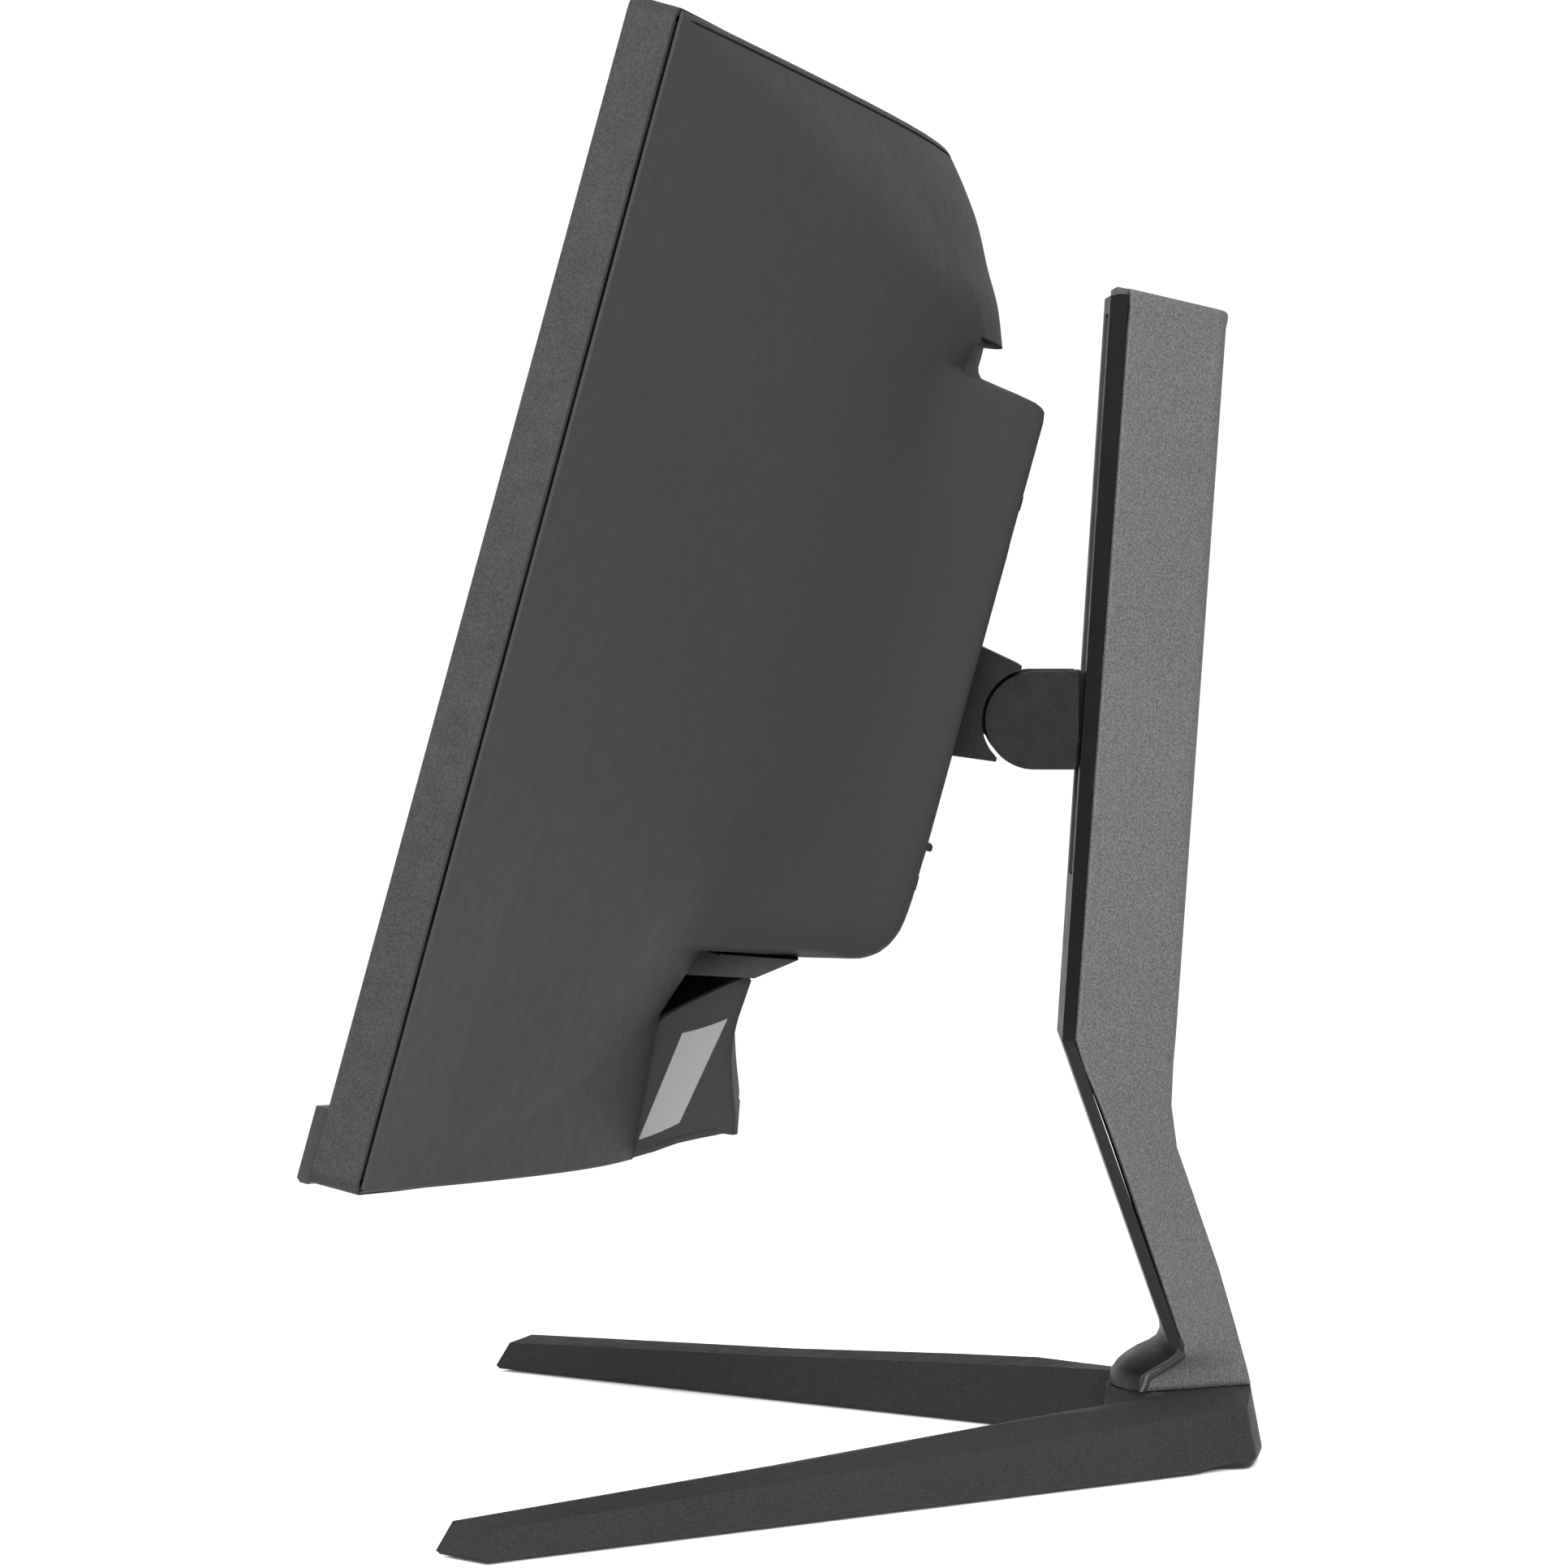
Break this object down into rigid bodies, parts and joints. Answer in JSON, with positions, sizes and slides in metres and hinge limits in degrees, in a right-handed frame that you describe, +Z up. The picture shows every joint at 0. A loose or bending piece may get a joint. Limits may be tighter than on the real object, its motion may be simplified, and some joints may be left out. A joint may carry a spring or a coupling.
{
  "type": "computer monitor",
  "caption": "Curved widescreen desktop monitor on a V-foot stand; the head swivels, lifts and tilts, with keys under the frame.",
  "frame": {"origin": "on the swivel axis at the table surface, in the middle of the pad under the hub", "axes": "+Z up, +Y towards the back of the monitor (the screen faces -Y), +X across the width, to the right for a person at the screen looking along +Y"},
  "size_m": [0.816, 0.3147, 0.4893],
  "materials": {
    "textured_black": "fine sand texture",
    "column_sand": "bright sand texture",
    "smooth_black": "smooth satin",
    "cover_grey": "fine grain",
    "accent_grey": "satin light grey",
    "bracket_black": "fine texture",
    "steel": "plated",
    "pad_rubber": "matte",
    "washer_plastic": "natural nylon",
    "screen_glass": "anti-glare film",
    "backlight_white": "diffuser stack",
    "socket_black": "moulded",
    "socket_metal": "plated shells",
    "board_green": "solder mask",
    "sink_aluminium": "anodised",
    "capacitor_sleeve": "sleeved",
    "lens_clear": "clear"
  },
  "bodies": {
    "foot": {"foot_casting": "textured_black", "foot_pads": "pad_rubber", "hub_pad": "pad_rubber"},
    "column": {"column_shell": "column_sand", "column_cap": "smooth_black", "column_front_cover": "smooth_black", "toe_cover": "smooth_black", "swivel_disc": "washer_plastic", "column_spine": "steel", "guide_rail": "steel", "swivel_axle": "steel", "retaining_washer": "steel", "swivel_bolt": "steel"},
    "carriage": {"lift_carriage": "steel", "lift_spring": "steel", "tilt_arm": "bracket_black", "tilt_pin": "steel"},
    "head": {"mid_frame": "textured_black", "lcd_panel": "screen_glass", "backlight_unit": "backlight_white", "panel_chassis": "steel", "bottom_chin": "smooth_black", "power_led_lens": "lens_clear", "rear_cover": "cover_grey", "top_cowl": "cover_grey", "stand_housing": "cover_grey", "mount_plate": "bracket_black", "tilt_bracket": "bracket_black", "lower_skirt": "cover_grey", "right_accent_panel": "accent_grey", "left_accent_panel": "accent_grey", "io_panel": "socket_black", "power_inlet": "socket_black", "display_sockets": "socket_metal", "display_port_socket": "socket_metal", "usb_sockets": "socket_metal", "audio_jack": "socket_black", "main_board": "board_green", "power_board": "board_green", "heat_sink": "sink_aluminium", "power_capacitors": "capacitor_sleeve", "cover_screws": "bracket_black", "bracket_screws": "bracket_black"},
    "release_button": {"release_button": "socket_black"},
    "menu_joystick": {"menu_joystick": "socket_black"},
    "power_key": {"power_key": "socket_black"}
  },
  "joints": [
    {"name": "stand_swivel", "type": "hinge", "parent": "foot", "child": "column", "pos_m": [0, 0, 0.026], "axis": [0, 0, 1], "range_deg": [-20, 20]},
    {"name": "height_slide", "type": "slide", "parent": "column", "child": "carriage", "axis": [0, 0.071, 0.9975], "range_m": [-0.034, 0.116]},
    {"name": "head_tilt", "type": "hinge", "parent": "carriage", "child": "head", "pos_m": [0, -0.0532, 0.262], "axis": [1, 0, 0], "range_deg": [-4.7, 20.3]},
    {"name": "release_press", "type": "slide", "parent": "head", "child": "release_button", "axis": [0, -0.9646, 0.2639], "range_m": [0, 0.0015], "stiffness_N_per_m": 600},
    {"name": "joystick_rock", "type": "hinge", "parent": "head", "child": "menu_joystick", "pos_m": [0, -0.2209, 0.12157], "axis": [1, 0, 0], "range_deg": [-6, 6], "stiffness_Nm_per_rad": 0.05},
    {"name": "power_press", "type": "slide", "parent": "head", "child": "power_key", "axis": [0, 0.2639, 0.9646], "range_m": [0, 0.0008], "stiffness_N_per_m": 600}
  ]
}
